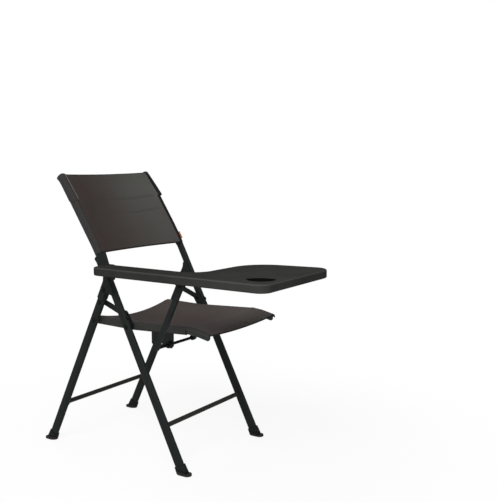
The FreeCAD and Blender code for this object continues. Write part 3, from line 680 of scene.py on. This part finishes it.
gap = np.where(pocket, POCKET_GAP, SLEEVE_GAP)
right_x, right_side, right_edge = sleeve(-1, gap, slack)
left_x, left_side, left_edge = sleeve(1, gap, slack + np.where(pocket, LEFT_LOOSE * (1 - in_pocket), 0))
smooth_edge = sleeve(1, SLEEVE_GAP, slack)[2]
span = np.linspace(-1, 1, 71)[1:-1]
panel_x = np.where(span < 0, span * right_x[:, -1:], span * left_x[:, -1:])
near_edge = np.exp(-((1 - np.abs(span)) / STEP_FADE) ** 2)
reach = distance[:, None] + low_edge(panel_x) - near_edge * pocket_dip(1)
bow = BOW - np.where(lift < 0.5, BOW_LESS_LOW, BOW_LESS_HIGH) * (1 - 2 * lift) ** 2
bow = bow * (1 - span ** 2)
creases = sum(crease(reach, panel_x, below_top, depth) for below_top, depth in CREASES)
bow = bow + creases * np.clip((1 - np.abs(span)) / CREASE_MARGIN, 0, 1) ** 2
panel_edge = smooth_edge + near_edge * np.where(span < 0, right_edge - smooth_edge, left_edge - smooth_edge)
panel_middle, panel_forward = tube_line(reach)[:2]
panel_side = panel_middle + (panel_edge - bow)[..., None] * panel_forward
side_view = np.concatenate([right_side, panel_side, left_side[:, ::-1]], axis=1)
back_x = np.concatenate([-right_x, panel_x, left_x[:, ::-1]], axis=1)
back_points = np.concatenate([back_x[..., None], side_view], axis=-1) + MIDDLE
columns = back_x.shape[1]
is_panel = (np.arange(columns - 1) >= len(loop) - 1) & (np.arange(columns - 1) < columns - len(loop))
kept = ~(is_panel[None, :] & (np.arange(len(distance) - 1) >= panel_rows - 1)[:, None])


def ridge_highlight_paint(place):
    """Grey piping cord, paler in patches, its pale grey a painted highlight on the pocket's front ridge."""
    return {
        "Base Color": place.grain(160.0, 4.0).blend(tint(92, 89, 87), tint(120, 116, 113)),
        "Roughness": 0.70 + 0.15 * place.grain(400.0, 2.0),
        "Normal": place.grain(1500.0, 2.0).relief(0.3, 0.0002),
    }


cord_highlight = finish("ridge_highlight_piping", ridge_highlight_paint, Specular_IOR_Level=0.2)
back_finish = finish("grey_canvas", back_canvas, Specular_IOR_Level=0.12)
back_cloth = cloth_piece("back_cloth", back_points, kept, back_finish, "front_frame")
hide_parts("back_sling", *both("back_sleeve"))
across = slice(len(loop) - 1, columns - len(loop) + 1)
UNDER_HEM = np.array([0, 0, -0.0010])
low_line = back_points[0, across] + UNDER_HEM
top_line = back_points[panel_rows - 1, across]
back_trim = [
    piping("back_lower_hem", low_line, LOWER_PIPING, binding, "front_frame"),
    piping("back_top_binding", top_line, TOP_PIPING, binding, "front_frame"),
]
IN_FRONT = np.array([0, -0.0005, 0.0003])
for side, column in (("right", len(loop) - 1), ("left", columns - len(loop))):
    ridge = back_points[SLEEVE_ROWS:panel_rows, column] + IN_FRONT
    # The right cord's pale colour is a painted highlight on the lit front ridge; the left one is dark
    # binding, part of the left sleeve's painted shade.
    cord = cord_highlight if side == "right" else binding
    back_trim.append(piping(f"{side}_pocket_welt", ridge, WELT_RADIUS, cord, "front_frame"))
seams = {
    "back_right_stitches": back_points[:panel_rows, len(loop) + 1],
    "back_left_stitches": back_points[:panel_rows, columns - len(loop) - 2],
    "back_top_stitches": back_points[panel_rows - 5, across],
    "back_low_stitches": back_points[3, across],
}
for name, line in seams.items():
    back_trim.append(stitches(name, line + IN_FRONT, thread, "front_frame"))


# Side tab. A short folded piece of orange-brown woven tape, caught in the left sleeve's front seam near the
# back's lower edge. It is bare.
TAB_LOW = LOW_LENGTH + 0.003
TAB_LENGTH = 0.026
TAB_START = 0.0085
TAB_OUT = 0.0062
TAB_HALF = 0.0013
TAB_SLANT = math.radians(40)
TAPE_THICK = 0.0006


def orange_tape(place):
    """Orange-brown woven tape with a fine rib and slightly faded patches."""
    rib = place.math("SINE", place.part("Z") * 7000.0)
    return {
        "Base Color": place.grain(220.0, 3.0).blend(tint(150, 82, 40), tint(190, 112, 62)),
        "Roughness": 0.75 + 0.15 * place.grain(300.0, 2.0),
        "Normal": rib.relief(0.35, 0.0002),
    }


# Seen from above the tab is half an ellipse, out and back, whose two sides draw together at the seam.
tab_rows = np.linspace(TAB_LOW, TAB_LOW + TAB_LENGTH, 10)
fold = np.linspace(-1, 1, 25)
tab_out = TAB_START + TAB_OUT * np.sqrt(1 - fold ** 2)
tab_wide = TAB_HALF * fold * (0.4 + 0.6 * np.sqrt(1 - fold ** 2))
tab_x = FRAME_HALF + tab_out * math.sin(TAB_SLANT) + tab_wide * math.cos(TAB_SLANT)
tab_ahead = tab_out * math.cos(TAB_SLANT) - tab_wide * math.sin(TAB_SLANT)
middle, forward, half_width = tube_line(tab_rows)
tab_reach = tab_ahead + (half_width - TUBE_HALF)[:, None]
tab_side = middle[:, None] + tab_reach[..., None] * forward[:, None]
tab_x = np.broadcast_to(tab_x, tab_reach.shape)
tab_points = np.concatenate([tab_x[..., None], tab_side], axis=-1) + MIDDLE
tab_faces = grid_faces(*tab_reach.shape)
tape = finish("orange_brown_tape", orange_tape, Specular_IOR_Level=0.2)
side_tab = mesh_piece("side_tab", tab_points, tab_faces, tape, "front_frame", False)
wall = side_tab.modifiers.new("tape_thickness", "SOLIDIFY")
wall.thickness = TAPE_THICK
wall.offset = 0.0


# Tablet. One moulded board with its arm, of charcoal plastic with a fine pebble grain, pinned to a bracket
# on the right upright. It has small pale rubs, a painted highlight along its upper edge and painted shade on
# its sides; the arm is darker, and the round cup recess is black.
BOARD_TOP = 0.629
CUP = MIDDLE[:2] + (-0.213, -0.286)
CUP_RADIUS = 0.043
ARM_FADE = (-0.34, -0.12)


def board_plastic(place):
    """Charcoal plastic with a pebble grain, soft clouds and small pale rubs, darker on the arm, with painted
    shade on the sides, a painted highlight along the upper edge, and black in the recess."""
    cloud = place.grain(11.0, 3.0)
    pebble = place.node("ShaderNodeTexVoronoi", None, {"Vector": place, "Scale": 950.0})
    rub = place.grain(200.0, 6.0, 0.7).ramp(0.63, 0.78)
    height = place.part("Z")
    # Painted highlight: a pale band round the board's upper edge, just below the top face.
    rim_highlight = 1 - height.ramp(BOARD_TOP - 0.0014, BOARD_TOP - 0.0002)
    rim_highlight = rim_highlight * height.ramp(BOARD_TOP - 0.0046, BOARD_TOP - 0.0026)
    # Painted shade: the board's sides, from about 5 mm below the top down, are darkened.
    side = 1 - height.ramp(BOARD_TOP - 0.0060, BOARD_TOP - 0.0044)
    aside = place.part("X") - CUP[0]
    behind = place.part("Y") - CUP[1]
    away = place.math("SQRT", aside * aside + behind * behind)
    recess = 1 - away.ramp(CUP_RADIUS, CUP_RADIUS + 0.0008)
    recess = recess * (1 - height.ramp(BOARD_TOP - 0.0042, BOARD_TOP - 0.0026))
    arm = place.part("Y").ramp(*ARM_FADE)
    body = (0.4 * cloud.ramp(0.3, 0.7) + 0.6 * arm).blend(tint(57, 57, 56), tint(45, 45, 44))
    rubs_and_highlight = (rub * 0.2 + rim_highlight * 0.3).blend(body, tint(84, 84, 83))
    shaded = (0.22 * side).blend(rubs_and_highlight, tint(22, 22, 22))
    return {
        "Base Color": recess.blend(shaded, tint(19, 19, 19)),
        "Roughness": 0.50 + 0.16 * cloud,
        "Normal": pebble.relief(0.22, 0.0003),
    }


board = finish("charcoal_board_plastic", board_plastic, Specular_IOR_Level=0.0)
coat(board, "tablet_board")


# Studio. A wide pale floor that keeps the chair's shadow, and a surround that the camera and reflections see
# as plain white. Three round softboxes light the chair.
FLOOR_REACH = 14.0
FLOOR_DROP = 0.0004
AMBIENT = 0.34
AIM = (0.0, 0.0, 0.5)


def white_seen(start):
    """1 for rays that come from the camera, a gloss or a clear surface, 0 for the rest."""
    names = ("Is Camera Ray", "Is Glossy Ray", "Is Transmission Ray")
    camera, glossy, clear = [start.node("ShaderNodeLightPath", None, None, name) for name in names]
    return start.math("MINIMUM", camera + glossy + clear, 1.0)


def floor_paint():
    """Pale floor that keeps the chair's soft shadow and fades to plain white away from it."""
    material, start = blank_finish("pale_floor")
    place = start.node("ShaderNodeTexCoord", None, None, "Object")
    away = start.node("ShaderNodeVectorMath", {"operation": "LENGTH"}, {0: place}, "Value")
    matt = start.node("ShaderNodeBsdfDiffuse", None, {"Color": (0.9, 0.9, 0.9, 1)})
    white = start.node("ShaderNodeEmission", None, {"Color": (1, 1, 1, 1), "Strength": 1.0})
    plain = white_seen(start) * (0.88 + 0.12 * away.ramp(0.5, 1.3))
    mixed = start.node("ShaderNodeMixShader", None, {0: plain, 1: matt, 2: white})
    start.node("ShaderNodeOutputMaterial", None, {"Surface": mixed})
    return material


floor_mesh = bpy.data.meshes.new("floor")
corners = FLOOR_REACH * np.array([(-1, -1, 0), (1, -1, 0), (1, 1, 0), (-1, 1, 0)])
floor_mesh.from_pydata(corners, [], [(0, 1, 2, 3)])
floor_mesh.materials.append(floor_paint())
floor = bpy.data.objects.new("floor", floor_mesh)
floor.location.z = -FLOOR_DROP
bpy.context.scene.collection.objects.link(floor)

world = bpy.data.worlds.new("studio")
bpy.context.scene.world = world
world.use_nodes = True
world.node_tree.nodes.clear()
air = Signal(world.node_tree, None)
strength = AMBIENT + (1 - AMBIENT) * white_seen(air)
glow = air.node("ShaderNodeBackground", None, {"Color": (1, 1, 1, 1), "Strength": strength})
air.node("ShaderNodeOutputWorld", None, {"Surface": glow})

lamps = [
    ("key_softbox", (-2.4, -0.8, 2.9), 2.0, 90.0),
    ("fill_softbox", (-2.2, -1.9, 0.8), 2.0, 24.0),
    ("rear_softbox", (0.6, 2.6, 2.6), 2.4, 35.0),
]
for name, spot, width, power in lamps:
    lamp = bpy.data.lights.new(name, "AREA")
    lamp.shape = "DISK"
    lamp.size = width
    lamp.energy = power
    holder = bpy.data.objects.new(name, lamp)
    holder.location = spot
    aim = np.subtract(AIM, spot)
    level_aim = math.hypot(aim[0], aim[1])
    holder.rotation_euler = (math.atan2(level_aim, -aim[2]), 0, math.atan2(-aim[0], aim[1]))
    bpy.context.scene.collection.objects.link(holder)


# Camera. It stands to the chair's front right, a little above the back's top, and looks slightly down. Its
# lens and place were fitted to the feet, the pivots and the back's tops.
camera = bpy.data.cameras.new("camera")
camera.lens = 56.126
camera.sensor_width = 36.0
eye = bpy.data.objects.new("camera", camera)
eye.location = (-1.9765, -1.5456, 0.9618)
eye.rotation_euler = (math.radians(83.185), 0, math.radians(-56.80))
bpy.context.scene.collection.objects.link(eye)
bpy.context.scene.camera = eye
bpy.context.scene.view_settings.view_transform = "Standard"
